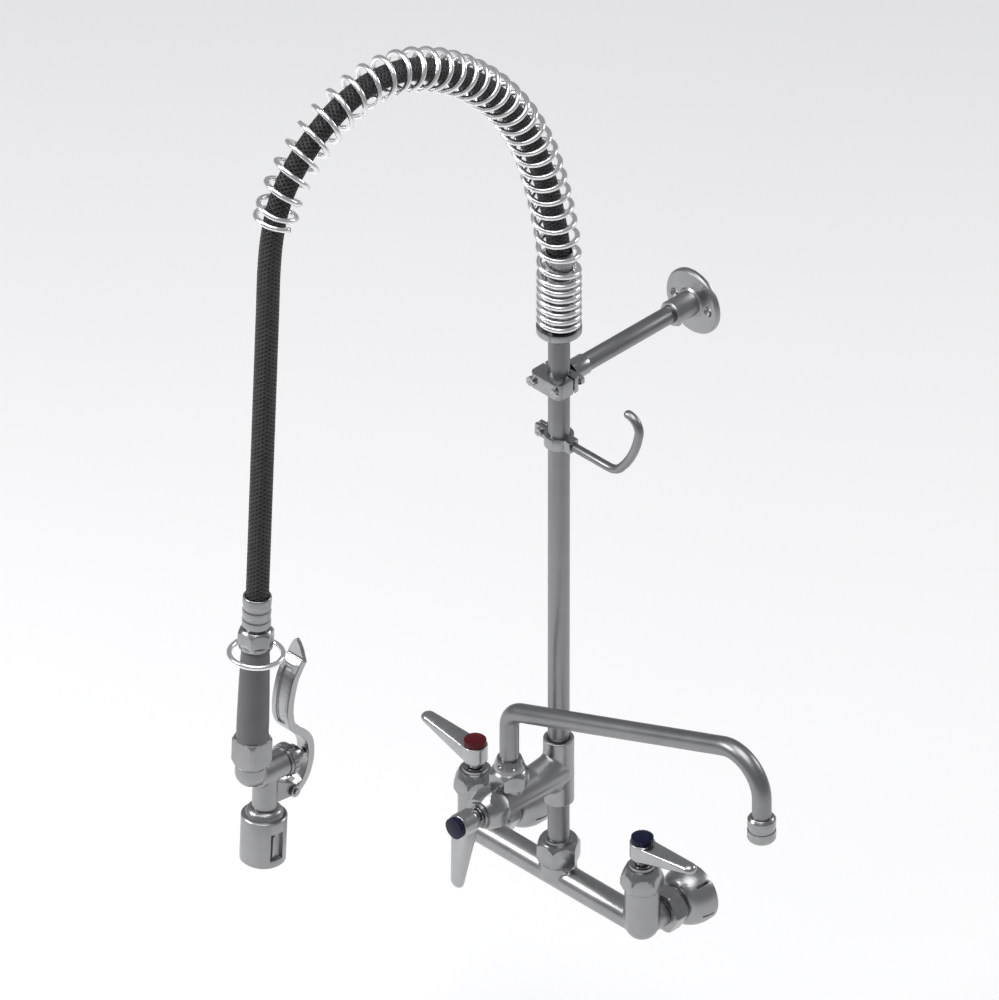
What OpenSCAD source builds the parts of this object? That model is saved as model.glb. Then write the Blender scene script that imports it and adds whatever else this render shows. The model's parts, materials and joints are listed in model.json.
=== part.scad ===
// Wall-mounted pre-rinse faucet: two-valve mixing body, riser, overhead spring and hose,
// squeeze spray valve, wall bracket, finger hook and add-on faucet with a swing nozzle.
// Origin: on the wall plane, midway between the two inlets. +X right, +Y into the wall, +Z up.

/* [Layout] */
// Distance between the two water inlets
inlet_centres = 203.2; // [190:0.1:215]
// Distance from the wall to the axis of the body and the riser
body_offset = 66; // [62:1:75]
// Height of the add-on faucet's arm above the body axis
arm_z = 112; // [110:1:116]
// Length of the riser tube
riser_l = 457.2; // [440:0.1:470]
// Outside diameter of the riser tube
riser_d = 19; // [18.5:0.1:19]

/* [Mixing body] */
// Diameter of the cross tube between the valves
body_d = 25; // [23:0.5:27]
// Diameter of each valve chamber
chamber_d = 30.5; // [29:0.5:32]
// Width across the flats of the bonnets
bonnet_af = 33; // [31:0.5:34]
// Diameter of the inlet flanges
flange_d = 54; // [50:1:60]

/* [Handles] */
// Reach of a lever handle from its axis to its tip
handle_reach = 63.5; // [58:0.5:66]
// Diameter of the handle's hub
hub_d = 22; // [21:0.5:23]

/* [Swing nozzle] */
// Reach of the swing nozzle
nozzle_reach = 304.8; // [280:0.1:304.8]
// Outside diameter of the nozzle tube
nozzle_d = 17; // [16:0.5:17.5]
// Rise of the nozzle's long run, in degrees
nozzle_rise = 20; // [18:0.5:20]
// Distance from the riser to the nozzle's swivel
swivel_reach = 60; // [58:0.5:62]

/* [Wall bracket] */
// Height of the bracket above the body axis
bracket_z = 522; // [500:1:530]
// How far the bracket's wall face lies behind the inlet faces
bracket_back = 99; // [0:1:110]
// Diameter of the bracket's wall flange
bracket_flange_d = 61.5; // [58:0.5:65]

/* [Finger hook] */
// Height of the hook band above the body axis
hook_z = 459; // [440:1:470]
// Diameter of the hook's rod
rod_d = 8; // [6:0.5:9]

/* [Spring and hose] */
// Outside diameter of the overhead spring
spring_d = 39.5; // [38:0.5:40]
// Thickness of the spring wire
wire_d = 5; // [4.5:0.1:5.2]
// Outside diameter of the hose
hose_d = 20; // [19:0.5:20.5]

/* [Spray valve] */
// Lean of the hanging spray valve, in degrees
lean = 2.67; // [2.6:0.01:2.7]
// Diameter of the spray head
spray_d = 40; // [38:0.5:40]
// Outside diameter of the hold-down ring
ring_d = 51; // [50:0.5:53]
// Thickness of the hold-down ring's wire
ring_wire = 5; // [4:0.5:5]

/* [Hidden] */

$fn = 96;
valve_x = inlet_centres / 2;
run = 0.05; // radial running clearance of shafts and swivels

// body levels, from the body axis upwards
chamber_top = 38.5;
bonnet_top = 60;
bonnet_ring_top = 63;
hub_bottom = 68;
hub_top = 86;
index_top = 91;
stem_d = 10;
stem_top = 41; // of a valve's stem, above its seat
boss_top = 21;
coupling_top = 40;
nipple_d = 19;
tee_bottom = 79;
tee_top = 145;
tee_r = 13.5;
arm_d = 29.5;
arm_end = 75.5; // from the riser axis to the arm's machined end
valve_depth = 33; // of each valve's machined chamber
tee_socket = 12; // depth of the tee's sockets for the nipple and the riser

riser_z0 = tee_top - tee_socket;
riser_z1 = riser_z0 + riser_l;
collar_z = riser_z1 - 10;
swivel_y = -body_offset - swivel_reach;
swivel_nut_z0 = arm_z + arm_d / 2 - 1;
nozzle_z0 = swivel_nut_z0 + 8;
spray_y = 18; // from the grip axis to the outlet's axis

// The hose's centreline in the plane X = 0, as [Y, Z], from the riser's top to the spray valve.
hose_route = [[-66, 608], [-66, 632], [-67, 662], [-74, 700], [-84, 740], [-98, 780],
    [-119, 820], [-146, 857], [-178, 889], [-214, 915], [-252, 933], [-290, 939], [-326, 933],
    [-357, 918], [-383, 896], [-401, 870], [-410, 840], [-414, 808], [-416, 765], [-418, 722],
    [-420, 679], [-422, 636], [-424, 593], [-426, 550], [-428, 507], [-430, 464]];
gun_y = -430 + (475 - 464) * sin(lean);
gun_z = 475;
spring_z0 = 583;
spring_end = 17; // the route point that the spring's free end reaches
spring_lead = 7.7; // from the start of the spring's line to the middle of its first turn
close_turns = 7.1;
close_pitch = 7.6;
open_turns = 39.1; // counted from the first turn to where the free end closes up
open_pitch = 17.4;
end_pitch = 8;
spring_turns = 40.25;
turn_steps = 12;

// The lever's centreline in the spray valve's own plane, as [Y, Z]
lever_line = [[50, -84], [46, -90], [40, -102], [36, -124], [38, -142], [46, -153], [57, -162],
    [64.5, -174], [66, -188], [63, -202], [57, -212], [49, -218]];
pivot = [49, -218];
valve_axis_z = -185;

// ---------- shared shapes ----------

function smooth(p, n) = [
    for (i = [0:len(p) - 2])
        for (k = [0:n - 1])
            let (t = k / n,
                a = p[max(i - 1, 0)],
                b = p[i],
                c = p[i + 1],
                d = p[min(i + 2, len(p) - 1)])
            0.5 * (2 * b + (c - a) * t + (2 * a - 5 * b + 4 * c - d) * t * t
                + (3 * b - 3 * c + d - a) * t * t * t),
    p[len(p) - 1]];

function lengths(p, i = 0, sum = 0, out = []) =
    i == len(p) ? out
    : let (s = i == 0 ? 0 : sum + norm(p[i] - p[i - 1]))
        lengths(p, i + 1, s, concat(out, [s]));

function unit(v) = v / norm(v);

function heading(p, i) = unit(p[min(i + 1, len(p) - 1)] - p[max(i - 1, 0)]);

module sweep(rings) {
    n = len(rings[0]);
    m = len(rings);
    side = [
        for (i = [0:m - 2])
            for (k = [0:n - 1])
                [i * n + k, i * n + (k + 1) % n, (i + 1) * n + (k + 1) % n, (i + 1) * n + k]];
    start_cap = [for (k = [n - 1:-1:0]) k];
    end_cap = [for (k = [0:n - 1]) (m - 1) * n + k];
    points = [for (r = rings) for (q = r) q];
    polyhedron(points, concat([start_cap], side, [end_cap]));
}

// rings that close on themselves, such as a pipe's outside followed by its inside
module closed_sweep(rings) {
    n = len(rings[0]);
    m = len(rings);
    points = [for (r = rings) for (q = r) q];
    polyhedron(points, [
        for (i = [0:m - 1])
            for (k = [0:n - 1])
                [i * n + k, i * n + (k + 1) % n, (i + 1) % m * n + (k + 1) % n, (i + 1) % m * n + k]]);
}

// A ring of points round a line that lies in the plane X = 0
function ring_at(at, ahead, r, sides) = [
    for (k = [0:sides - 1])
        let (a = 360 * k / sides)
        [r * sin(a), at.x + r * cos(a) * ahead.y, at.y - r * cos(a) * ahead.x]];

module hex_nut(af, h, hole, crown = 0.94) {
    difference() {
        intersection() {
            cylinder(d = af / cos(30), h = h, $fn = 6);
            rotate_extrude() polygon([[0, 0], [af * 0.55, 0], [af * 0.577, h * 0.12],
                [af * 0.577, h * 0.72], [af * crown / 2, h], [0, h]]);
        }
        translate([0, 0, -1]) cylinder(d = hole, h = h + 2);
    }
}

module along_y() { rotate([-90, 0, 0]) children(); }

module at_valve(side) { translate([side * valve_x, -body_offset, 0]) children(); }

// the add-on faucet's valve points away from the wall
module at_addon() { translate([0, -body_offset, arm_z]) rotate([90, 0, 0]) children(); }

module at_gun() { translate([0, gun_y, gun_z]) rotate([-lean, 0, 0]) children(); }

// ---------- valve parts, shared by the three valves; z = 0 is the machined seat ----------

module cartridge(depth) {
    difference() {
        union() {
            translate([0, 0, -depth]) cylinder(d = 20, h = depth);
            cylinder(d = 23, h = 3);
        }
        translate([0, 0, -depth + 6]) cylinder(d = stem_d + 2 * run, h = depth);
        for (a = [0, 180])
            rotate([0, 0, a]) translate([4, 0, -depth + 9]) rotate([0, 90, 0])
                cylinder(d = 7, h = 10);
    }
}

module bonnet(turn) {
    nut_h = bonnet_top - chamber_top;
    ring_h = bonnet_ring_top - chamber_top;
    difference() {
        union() {
            intersection() {
                rotate([0, 0, turn]) cylinder(d = bonnet_af / cos(30), h = nut_h, $fn = 6);
                rotate_extrude() polygon([[0, 0], [bonnet_af * 0.52, 0], [bonnet_af * 0.577, 3],
                    [bonnet_af * 0.577, nut_h * 0.4], [bonnet_af * 0.5, nut_h * 0.75],
                    [bonnet_af * 0.42, nut_h], [0, nut_h]]);
            }
            cylinder(d = 23, h = ring_h);
        }
        translate([0, 0, -1]) cylinder(d = 23, h = 4);
        translate([0, 0, -1]) cylinder(d = stem_d + 2 * run, h = ring_h + 2);
        translate([0, 0, ring_h - 1.5]) cylinder(d = 15, h = 3);
    }
}

module stem(depth) {
    difference() {
        union() {
            translate([0, 0, -depth + 6.5]) cylinder(d = stem_d, h = depth + stem_top - 6.5);
            translate([0, 0, bonnet_ring_top - chamber_top - 1]) cylinder(d = 12, h = 5);
        }
        translate([0, 0, stem_top - 10.5]) cylinder(d = 4, h = 30);
    }
}

// the lever handle points along +X from its hub
module handle() {
    h0 = hub_bottom - chamber_top;
    h1 = hub_top - chamber_top;
    tip_r = 7;
    difference() {
        union() {
            translate([0, 0, h0]) cylinder(d1 = hub_d - 3, d2 = hub_d, h = 3);
            translate([0, 0, h0 + 3]) cylinder(d = hub_d, h = h1 - h0 - 3);
            hull() {
                translate([2, 0, h1 - 16]) cylinder(d = hub_d - 3, h = 14, $fn = 40);
                translate([handle_reach - tip_r, 0, h1]) scale([1, 1, 0.66]) sphere(r = tip_r, $fn = 32);
            }
        }
        translate([0, 0, h0 - 1]) cylinder(d = stem_d, h = stem_top - h0 + 1);
        translate([0, 0, h0 - 1]) cylinder(d = 4, h = 30);
        translate([0, 0, h1 - 4]) cylinder(d = 15, h = 10);
    }
}

module handle_screw() {
    h1 = hub_top - chamber_top;
    difference() {
        union() {
            translate([0, 0, stem_top - 8.5]) cylinder(d = 4, h = h1 - stem_top + 5);
            translate([0, 0, h1 - 4]) cylinder(d = 8, h = 2.5);
        }
        translate([-5, -0.6, h1 - 2.4]) cube([10, 1.2, 2]);
    }
}

module index_cap() {
    h1 = hub_top - chamber_top;
    difference() {
        union() {
            translate([0, 0, h1]) cylinder(d = 19.6, h = index_top - hub_top);
            translate([0, 0, h1 - 1.2]) cylinder(d = 14.6, h = 2);
        }
        for (a = [0:20:340])
            rotate([0, 0, a]) translate([10.3, 0, h1 + 0.8]) cylinder(d = 1.8, h = 10, $fn = 16);
    }
}

// ---------- mixing body ----------

module base_body() {
    color("lightgray")
    difference() {
        union() {
            translate([-valve_x, -body_offset, 0]) rotate([0, 90, 0])
                cylinder(d = body_d, h = inlet_centres);
            for (s = [-1, 1])
                at_valve(s) {
                    cylinder(d = chamber_d, h = chamber_top);
                    sphere(d = chamber_d);
                    along_y() cylinder(d = 26, h = 22);
                    along_y() translate([0, 0, 20]) cylinder(d = 20.5, h = 18);
                }
            translate([0, -body_offset, 0]) cylinder(d = 32, h = 15);
            translate([0, -body_offset, 15]) cylinder(d1 = 32, d2 = 28, h = 2);
            translate([0, -body_offset, 15]) cylinder(d = 24, h = boss_top + 6 - 15);
        }
        translate([-valve_x, -body_offset, 0]) rotate([0, 90, 0]) cylinder(d = 16, h = inlet_centres);
        for (s = [-1, 1])
            at_valve(s) {
                translate([0, 0, chamber_top - valve_depth]) cylinder(d = 20, h = 40);
                sphere(d = 20);
                cylinder(d = 16, h = 20);
                along_y() cylinder(d = 14, h = 60);
            }
        translate([0, -body_offset, 0]) cylinder(d = 14, h = 40);
        // guide pin's dimple in the side of the centre boss
        translate([14.7, -body_offset - 6.2, 12]) sphere(d = 4.5);
    }
}

// inlet parts; y counts from the valve's axis towards the wall
inlet_nut_y = 22;
inlet_nut_l = 17;

module inlet_nut(side) {
    color("silver")
    at_valve(side) along_y()
        translate([0, 0, inlet_nut_y]) {
            difference() {
                hex_nut(36, inlet_nut_l, 20.5, 0.92);
                translate([0, 0, 6]) cylinder(d = 26, h = 20);
            }
        }
}

// a domed flange whose threaded neck the coupling nut draws on to the body's shank
module inlet_flange(side) {
    back = body_offset;
    neck_y = inlet_nut_y + 7;
    dome_y = inlet_nut_y + inlet_nut_l + 0.4;
    color("lightgray")
    at_valve(side) along_y()
        difference() {
            rotate_extrude() polygon(concat(
                [[8, neck_y + 12], [10.45, neck_y + 12], [10.45, neck_y], [13, neck_y], [13, dome_y],
                    [15, dome_y]],
                [for (a = [0:10:90])
                    [16 + (flange_d / 2 - 16) * sin(a), back - 5 - (back - 5 - dome_y - 1) * cos(a)]],
                [[flange_d / 2, back], [8, back]]));
            for (a = [-48, 18, 132, 198])
                rotate([0, 0, a]) translate([19.5, -1, back - 16]) cube([9, 2, 12]);
            translate([0, 0, back - 16]) cylinder(r = 10.4, h = 20);
        }
}

module joint_washers() {
    color("dimgray") {
        for (s = [-1, 1])
            at_valve(s) along_y() translate([0, 0, 38]) difference() {
                cylinder(d = 19.5, h = 3);
                translate([0, 0, -1]) cylinder(d = 14, h = 5);
            }
        translate([0, -body_offset, boss_top + 6]) difference() {
            cylinder(d = 22, h = 2);
            translate([0, 0, -1]) cylinder(d = 14, h = 4);
        }
    }
}

// ---------- centre stack ----------

module riser_nipple() {
    z0 = boss_top + 8;
    color("silver")
    translate([0, -body_offset, 0]) difference() {
        union() {
            translate([0, 0, z0]) cylinder(d = 26, h = 4);
            translate([0, 0, z0]) cylinder(d = nipple_d, h = tee_bottom + tee_socket - z0);
        }
        translate([0, 0, z0 - 1]) cylinder(d = 14, h = 80);
    }
}

module riser_coupling_nut() {
    color("silver")
    translate([0, -body_offset, 0]) difference() {
        union() {
            translate([0, 0, 17.2]) hex_nut(34, coupling_top - 19.4, 10);
            translate([0, 0, coupling_top - 4]) cylinder(d = 26, h = 4);
        }
        translate([0, 0, 10]) cylinder(d = 26.4, h = boss_top + 12 - 10 + 0.02);
        translate([0, 0, 10]) cylinder(d = nipple_d + 0.04, h = 50);
    }
}

module addon_body() {
    color("lightgray")
    difference() {
        union() {
            translate([0, -body_offset, tee_bottom]) cylinder(r = tee_r, h = tee_top - tee_bottom);
            at_addon() cylinder(d = arm_d, h = arm_end);
            at_addon() hull() {
                translate([0, 0, 2]) scale([0.46, 0.92, 1]) cylinder(d = 58, h = 1);
                translate([0, 0, 13]) scale([0.94, 1.28, 1]) cylinder(d = arm_d, h = 1);
            }
            at_addon() hull() {
                translate([0, 0, 13]) scale([0.94, 1.28, 1]) cylinder(d = arm_d, h = 1);
                translate([0, 0, 32]) cylinder(d = arm_d, h = 1);
            }
            translate([0, swivel_y, arm_z]) cylinder(d = 25, h = swivel_nut_z0 - arm_z + 1);
            translate([0, swivel_y, arm_z]) cylinder(d = 22, h = nozzle_z0 - 1 - arm_z);
        }
        translate([0, -body_offset, tee_bottom - 1]) cylinder(d = nipple_d, h = tee_socket + 1);
        translate([0, -body_offset, riser_z0]) cylinder(d = riser_d, h = tee_socket + 1);
        translate([0, -body_offset, tee_bottom]) cylinder(d = 15, h = tee_top - tee_bottom);
        at_addon() cylinder(d = 14, h = arm_end);
        at_addon() translate([0, 0, arm_end - valve_depth]) cylinder(d = 20, h = 40);
        translate([0, swivel_y, arm_z]) cylinder(d = 13, h = 40);
        translate([0, swivel_y, nozzle_z0 - 10]) cylinder(d = 16, h = 20);
    }
}

// ---------- swing nozzle ----------

module swivel_nut() {
    nut_h = 16;
    color("silver")
    translate([0, swivel_y, swivel_nut_z0 + 1.2]) difference() {
        union() {
            hex_nut(31, nut_h, 10, 0.9);
            translate([0, 0, nut_h - 3]) cylinder(d = 27, h = 6);
            translate([0, 0, nut_h + 3]) cylinder(d1 = 27, d2 = 21.5, h = 8);
        }
        translate([0, 0, -1]) cylinder(d = 22, h = nozzle_z0 - swivel_nut_z0 - 1.2);
        translate([0, 0, nozzle_z0 - swivel_nut_z0 - 3]) cylinder(d = 24, h = 13);
        translate([0, 0, -1]) cylinder(d = nozzle_d + 2 * run, h = 40);
        for (a = [30:60:330])
            rotate([0, 0, a]) translate([12.5, 0, nut_h + 6]) rotate([0, 35, 0])
                cylinder(d = 3.4, h = 3, center = true, $fn = 24);
    }
}

sleeve_z0 = nozzle_z0 - 9;

module nozzle_sleeve() {
    color("silver")
    translate([0, swivel_y, 0]) difference() {
        union() {
            translate([0, 0, sleeve_z0]) cylinder(d = 15.6, h = 10);
            translate([0, 0, nozzle_z0]) cylinder(d = 22.6, h = 4);
        }
        translate([0, 0, sleeve_z0 - 1]) cylinder(d = 11, h = 30);
        for (z = [2, 5.4])
            translate([0, 0, sleeve_z0 + z]) difference() {
                cylinder(d = 30, h = 2);
                translate([0, 0, -1]) cylinder(d = 12.8, h = 4);
            }
    }
}

module nozzle_o_rings() {
    color("black")
    for (z = [3, 6.4])
        translate([0, swivel_y, sleeve_z0 + z]) rotate_extrude() translate([7.05, 0])
            circle(d = 1.3, $fn = 24);
}

// the nozzle's centreline: up, a bend, the rising run, a bend and down to the outlet
near_r = 22;
far_r = 35;
near_z = 202.3; // where the lines of the upright and of the rising run cross
far_z = near_z + nozzle_reach * tan(nozzle_rise);
near_t = near_r * tan((90 - nozzle_rise) / 2);
far_t = far_r * tan((90 + nozzle_rise) / 2);
tube_z0 = nozzle_z0 + 4;
tip_z = 234;
outlet_z = 223;

// the nozzle's centreline in its own plane, as [X, Z, heading above the horizontal]
nozzle_line = concat(
    [[0, tube_z0, 90], [0, near_z - near_t - 12, 90]],
    [for (a = [0:10:90 - nozzle_rise])
        [near_r - near_r * cos(a), near_z - near_t + near_r * sin(a), 90 - a]],
    [for (a = [90 + nozzle_rise:-10:0])
        [nozzle_reach - far_r + far_r * cos(a), far_z - far_t + far_r * sin(a), a - 90]],
    [[nozzle_reach, tip_z, -90]]);

function nozzle_ring(p, r, sides) = [
    for (k = [0:sides - 1])
        let (a = 360 * k / sides)
        [p[0] - r * cos(a) * sin(p[2]), r * sin(a), p[1] + r * cos(a) * cos(p[2])]];

module nozzle_tube() {
    sides = 24;
    last = len(nozzle_line) - 1;
    color("silver")
    translate([0, swivel_y, 0]) {
        closed_sweep(concat(
            [for (i = [0:last]) nozzle_ring(nozzle_line[i], nozzle_d / 2, sides)],
            [for (i = [last:-1:0]) nozzle_ring(nozzle_line[i], nozzle_d / 2 - 1.3, sides)]));
    }
}

module nozzle_outlet() {
    color("silver")
    translate([nozzle_reach, swivel_y, 0]) difference() {
        union() {
            translate([0, 0, outlet_z]) cylinder(d1 = 23, d2 = 25, h = 2);
            translate([0, 0, outlet_z + 2]) cylinder(d = 25, h = 8);
            translate([0, 0, outlet_z + 10]) cylinder(d = 23.4, h = 2);
            translate([0, 0, outlet_z + 12]) cylinder(d = 24.6, h = 9);
            translate([0, 0, outlet_z + 21]) cylinder(d1 = 24.6, d2 = 20, h = 2.5);
        }
        translate([0, 0, tip_z]) cylinder(d = nozzle_d, h = 30);
        translate([0, 0, outlet_z - 1]) cylinder(d = 18, h = 6);
        for (a = [0:60:300])
            rotate([0, 0, a]) translate([4.6, 0, outlet_z]) cylinder(d = 2.6, h = 20, $fn = 24);
        translate([0, 0, outlet_z]) cylinder(d = 3, h = 20, $fn = 24);
    }
}

// ---------- riser and bracket ----------

module riser() {
    color("silver")
    translate([0, -body_offset, riser_z0]) difference() {
        cylinder(d = riser_d, h = riser_l);
        translate([0, 0, -1]) cylinder(d = riser_d - 3, h = riser_l + 2);
    }
}

clamp_h = 15;
clamp_l = 36;
clamp_screw_x = 14;
clamp_front = 18.5; // from the riser axis to the clamp's front face
clamp_back = 9;
split_gap = 2;

module clamp_outline() {
    r = 6;
    difference() {
        hull()
            for (x = [-clamp_l / 2 + r, clamp_l / 2 - r])
                for (y = [-clamp_front + r, clamp_back - r])
                    translate([x, y, 0]) cylinder(r = r, h = clamp_h, center = true);
        cylinder(d = riser_d, h = 40, center = true);
        for (s = [-1, 1])
            translate([s * clamp_screw_x, -30, 0]) along_y() cylinder(d = 5, h = 60);
    }
}

socket_y = 30;

module bracket_rear_clamp() {
    color("silver")
    translate([0, -body_offset, bracket_z]) difference() {
        union() {
            intersection() {
                clamp_outline();
                translate([-50, split_gap / 2, -20]) cube([100, 60, 40]);
            }
            translate([0, riser_d / 2 + 3, 0]) along_y() cylinder(d = 19, h = socket_y - riser_d / 2 - 3);
        }
        cylinder(d = riser_d, h = 40, center = true);
        translate([0, socket_y - 14, 0]) along_y() cylinder(d = 16, h = 20);
    }
}

module bracket_front_clamp() {
    color("silver")
    translate([0, -body_offset, bracket_z])
        intersection() {
            clamp_outline();
            translate([-50, -60 - split_gap / 2, -20]) cube([100, 60, 40]);
        }
}

module bracket_screws() {
    color("gray")
    for (s = [-1, 1])
        translate([s * clamp_screw_x, -body_offset, bracket_z]) along_y() difference() {
            union() {
                translate([0, 0, -clamp_front - 3.2]) cylinder(d = 8.6, h = 3.2);
                translate([0, 0, -clamp_front]) cylinder(d = 5, h = clamp_front + clamp_back);
                translate([0, 0, clamp_back]) rotate([0, 0, 30])
                    cylinder(d = 8 / cos(30), h = 4, $fn = 6);
            }
            translate([-6, -0.7, -clamp_front - 4]) cube([12, 1.4, 2]);
        }
}

flange_t = 5;
bracket_hub_l = 26;

module bracket_tube() {
    y0 = socket_y - 14 - body_offset;
    y1 = bracket_back - flange_t - 2;
    color("silver")
    translate([0, y0, bracket_z]) along_y() difference() {
        cylinder(d = 16, h = y1 - y0);
        translate([0, 0, -1]) cylinder(d = 12.5, h = y1 - y0 + 2);
    }
}

module bracket_flange() {
    hub_y = bracket_back - flange_t - bracket_hub_l;
    color("lightgray")
    translate([0, 0, bracket_z]) difference() {
        union() {
            translate([0, hub_y, 0]) along_y() cylinder(d1 = 21, d2 = 23, h = 1.5);
            translate([0, hub_y + 1.5, 0]) along_y() cylinder(d = 23, h = bracket_hub_l);
            translate([0, bracket_back - flange_t - 1.5, 0]) along_y()
                cylinder(d1 = 25, d2 = 29, h = 2);
            translate([0, bracket_back - flange_t, 0]) along_y()
                cylinder(d1 = bracket_flange_d - 3, d2 = bracket_flange_d, h = 2);
            translate([0, bracket_back - flange_t + 2, 0]) along_y()
                cylinder(d = bracket_flange_d, h = flange_t - 2);
        }
        translate([0, hub_y - 1, 0]) along_y() cylinder(d = 16, h = bracket_hub_l - 1);
        for (s = [-1, 1])
            translate([s * 20, bracket_back - flange_t - 1, 0]) along_y() {
                cylinder(d = 5.5, h = 20);
                cylinder(d1 = 12, d2 = 5.5, h = 3.4);
            }
        translate([0, hub_y + 10, -14]) cylinder(d = 4, h = 8);
    }
}

module bracket_set_screw() {
    hub_y = bracket_back - flange_t - bracket_hub_l;
    color("gray")
    translate([0, hub_y + 10, bracket_z - 13.5]) difference() {
        union() {
            cylinder(d = 4, h = 5.4);
            translate([0, 0, -1.5]) cylinder(d = 6.5, h = 2);
        }
        translate([-5, -0.5, -2]) cube([10, 1, 1.6]);
    }
}

// ---------- finger hook ----------

band_h = 11;
hook_bends = [20, 90, 13]; // radii, from the band to the tip
hook_turns = [0, 48, 80, 180]; // headings above the horizontal between the bends
hook_x = 60; // where the straight rod ends

function arc_end(at, r, from, to) =
    at + r * [sin(to) - sin(from), cos(from) - cos(to)];

function bend_points(at, r, from, to, steps) = [
    for (i = [1:steps])
        let (a = from + (to - from) * i / steps, p = arc_end(at, r, from, a))
        [p.x, p.y, a]];

hook_at = [hook_x, 0];
hook_mid = arc_end(hook_at, hook_bends[0], hook_turns[0], hook_turns[1]);
hook_high = arc_end(hook_mid, hook_bends[1], hook_turns[1], hook_turns[2]);
hook_tip = arc_end(hook_high, hook_bends[2], hook_turns[2], hook_turns[3]);
// the rod's centreline in its own plane, as [X, Z, heading above the horizontal]
hook_line = concat(
    [[12, 0, 0], [hook_x, 0, 0]],
    bend_points(hook_at, hook_bends[0], hook_turns[0], hook_turns[1], 6),
    bend_points(hook_mid, hook_bends[1], hook_turns[1], hook_turns[2], 5),
    bend_points(hook_high, hook_bends[2], hook_turns[2], hook_turns[3], 10));

module hook_band() {
    color("silver")
    translate([0, -body_offset, hook_z]) difference() {
        union() {
            cylinder(d = riser_d + 7, h = band_h, center = true);
            translate([-25, -4.2, -band_h / 2]) cube([15, 8.4, band_h]);
            translate([10, -5.4, -band_h / 2]) cube([8, 10.8, band_h]);
        }
        cylinder(d = riser_d + 2 * run, h = 20, center = true);
        translate([-30, -0.7, -10]) cube([22, 1.4, 20]);
        translate([-19, -10, 0]) rotate([-90, 0, 0]) cylinder(d = 4, h = 20);
        translate([12, 0, 0]) rotate([0, 90, 0]) cylinder(d = rod_d, h = 20);
    }
}

module hook_rod() {
    color("silver")
    translate([0, -body_offset, hook_z]) {
        sweep(concat(
            [for (p = hook_line) nozzle_ring(p, rod_d / 2, 20)],
            [for (t = [0.35, 0.7, 0.95])
                nozzle_ring([hook_tip.x - rod_d / 2 * t, hook_tip.y, 180],
                    rod_d / 2 * sqrt(1 - t * t), 20)]));
    }
}

module hook_screw() {
    color("gray")
    translate([-19, -body_offset, hook_z]) along_y() difference() {
        union() {
            translate([0, 0, -7]) cylinder(d = 7.5, h = 2.8);
            translate([0, 0, -4.3]) cylinder(d = 4, h = 9);
            translate([0, 0, 4.2]) cylinder(d = 7 / cos(30), h = 3, $fn = 6);
        }
        translate([-5, -0.5, -8]) cube([10, 1, 2]);
    }
}

// ---------- overhead spring and hose ----------

module spring_collar() {
    top = spring_z0 - 10 + spring_lead - wire_d / 2 - 0.35;
    color("silver")
    translate([0, -body_offset, 0]) difference() {
        rotate_extrude() polygon([[riser_d / 2, top - 12.5], [12, top - 12.5], [spring_d / 2, top - 6],
            [spring_d / 2, top], [riser_d / 2, top]]);
        translate([0, 0, top - 30]) cylinder(d = riser_d, h = 60);
    }
}

spring_path = smooth(concat([[-body_offset, spring_z0 - 10], [-body_offset, spring_z0]],
    [for (i = [0:spring_end + 1]) hose_route[i]]), 6);
spring_s = lengths(spring_path);
path_y = [for (i = [0:len(spring_path) - 1]) [spring_s[i], spring_path[i].x]];
path_z = [for (i = [0:len(spring_path) - 1]) [spring_s[i], spring_path[i].y]];

function path_at(s) = [lookup(s, path_y), lookup(s, path_z)];
function turn_length(n) = spring_lead + min(n, close_turns) * close_pitch
    + (min(max(n, close_turns), open_turns) - close_turns) * open_pitch
    + max(n - open_turns, 0) * end_pitch;

function spring_ring(n) =
    let (s = turn_length(n),
        at = path_at(s),
        ahead = unit(path_at(s + 2) - path_at(s - 2)),
        a = 360 * n,
        out = [sin(a), cos(a) * ahead.y, -cos(a) * ahead.x],
        axial = [0, ahead.x, ahead.y],
        mid = [0, at.x, at.y] + (spring_d - wire_d) / 2 * out)
    [for (k = [0:4])
        mid + wire_d / 2 * (cos(72 * k) * out + sin(72 * k) * axial)];

module overhead_spring() {
    color("gainsboro")
    sweep([for (i = [0:spring_turns * turn_steps]) spring_ring(i / turn_steps)]);
}

module hose_swivel_nut() {
    color("silver")
    translate([0, -body_offset, spring_z0]) hex_nut(23.5, 18, riser_d + 2 * run);
}

module hose_upper_ferrule() {
    z0 = spring_z0 + 18;
    color("silver")
    translate([0, -body_offset, 0]) difference() {
        union() {
            translate([0, 0, z0]) cylinder(d = 24, h = 52);
            translate([0, 0, z0 + 52]) cylinder(d1 = 24, d2 = 23, h = 2);
        }
        translate([0, 0, hose_route[0].y]) cylinder(d = 22, h = 60);
        translate([0, 0, z0 - 1]) cylinder(d = 12, h = 60);
    }
}

module hose() {
    route = smooth(hose_route, 2);
    color([0.08, 0.08, 0.09])
    sweep([for (i = [0:len(route) - 1])
        let (ahead = i == 0 ? [0, 1] : i == len(route) - 1 ? [-sin(lean), -cos(lean)]
            : heading(route, i))
        ring_at(route[i], ahead, hose_d / 2, 12)]);
}

// ---------- spray valve, in its own frame: z = 0 at the hose ferrule's top ----------

module hose_lower_ferrule() {
    color("lightgray")
    at_gun() difference() {
        union() {
            translate([0, 0, -28]) cylinder(d = 25, h = 29);
            translate([0, 0, 1]) cylinder(d1 = 25, d2 = 23.6, h = 1);
            translate([0, 0, -31]) cylinder(d = 21, h = 4);
        }
        translate([0, 0, -18]) cylinder(d = 21, h = 40);
        translate([0, 0, -40]) cylinder(d = 11, h = 60);
    }
}

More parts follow.
